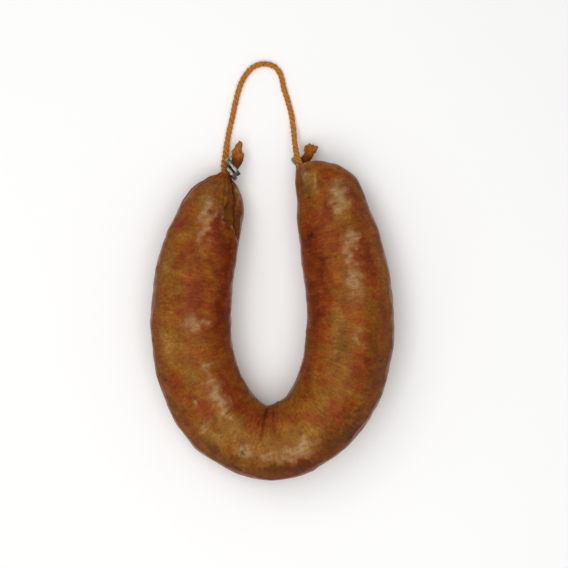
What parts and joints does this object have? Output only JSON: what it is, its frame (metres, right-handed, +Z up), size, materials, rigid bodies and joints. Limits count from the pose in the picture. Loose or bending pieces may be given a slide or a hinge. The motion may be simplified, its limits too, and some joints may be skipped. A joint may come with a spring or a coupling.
{
  "type": "cured sausage",
  "caption": "Horseshoe cured sausage in natural casing, each gathered end shut by an aluminium clip, with a cotton hanging string between them.",
  "frame": {"origin": "on the surface that the sausage lies on, under the middle of the sausage and its clips", "axes": "+Y from the bend towards the hanging string, +X to the thicker leg, +Z up from the surface"},
  "size_m": [0.1097, 0.1897, 0.0361],
  "materials": {
    "casing": "smoked natural casing over coarse filling, soft satin gloss",
    "clip": "drawn wire, satin, slightly scuffed",
    "string": "twisted cotton, stained orange brown by smoke"
  },
  "bodies": {
    "root": {"sausage": "casing", "clip_left": "clip", "clip_right": "clip", "hanging_string": "string"}
  },
  "joints": []
}
